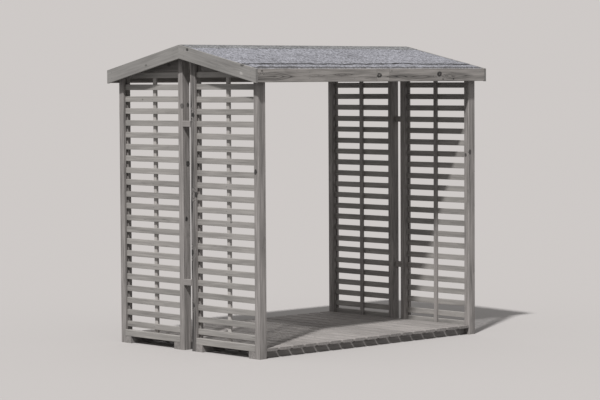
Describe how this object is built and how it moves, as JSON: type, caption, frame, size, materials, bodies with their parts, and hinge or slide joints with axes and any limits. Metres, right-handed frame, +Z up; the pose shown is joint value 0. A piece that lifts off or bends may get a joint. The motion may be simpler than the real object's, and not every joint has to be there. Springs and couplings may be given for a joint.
{
  "type": "log store",
  "caption": "Timber log store with slatted ends, open long sides, a raised board floor and a shallow pitched felt roof.",
  "frame": {"origin": "on the ground under the middle of the ridge, at the centre of the plan", "axes": "+X along the ridge, -Y towards the front opening, +Z up"},
  "size_m": [2.122, 1.476, 1.9821],
  "materials": {
    "glazed_softwood": "grey glaze on planed softwood, grain and knots showing",
    "roof_felt": "mineral faced bitumen roofing felt, matt"
  },
  "bodies": {
    "root": {"bargeboard_left_back": "glazed_softwood", "bargeboard_left_front": "glazed_softwood", "bargeboard_right_back": "glazed_softwood", "bargeboard_right_front": "glazed_softwood", "batten_left_back": "glazed_softwood", "batten_left_front": "glazed_softwood", "batten_right_back": "glazed_softwood", "batten_right_front": "glazed_softwood", "bearer_back_inner": "glazed_softwood", "bearer_back_outer": "glazed_softwood", "bearer_front_inner": "glazed_softwood", "bearer_front_outer": "glazed_softwood", "eaves_purlin_back": "glazed_softwood", "eaves_purlin_front": "glazed_softwood", "fascia_back": "glazed_softwood", "fascia_front": "glazed_softwood", "floor_boards": "glazed_softwood", "infill_left_back": "glazed_softwood", "infill_left_front": "glazed_softwood", "infill_right_back": "glazed_softwood", "infill_right_front": "glazed_softwood", "post_left_back_inner": "glazed_softwood", "post_left_back_outer": "glazed_softwood", "post_left_front_inner": "glazed_softwood", "post_left_front_outer": "glazed_softwood", "post_right_back_inner": "glazed_softwood", "post_right_back_outer": "glazed_softwood", "post_right_front_inner": "glazed_softwood", "post_right_front_outer": "glazed_softwood", "rail_left_back": "glazed_softwood", "rail_left_front": "glazed_softwood", "rail_right_back": "glazed_softwood", "rail_right_front": "glazed_softwood", "ridge_beam": "glazed_softwood", "ridge_cap": "roof_felt", "roof_boards_back": "glazed_softwood", "roof_boards_front": "glazed_softwood", "roof_felt_back": "roof_felt", "roof_felt_front": "roof_felt", "slats_left_back": "glazed_softwood", "slats_left_front": "glazed_softwood", "slats_right_back": "glazed_softwood", "slats_right_front": "glazed_softwood", "spacers_left": "glazed_softwood", "spacers_right": "glazed_softwood"}
  },
  "joints": []
}
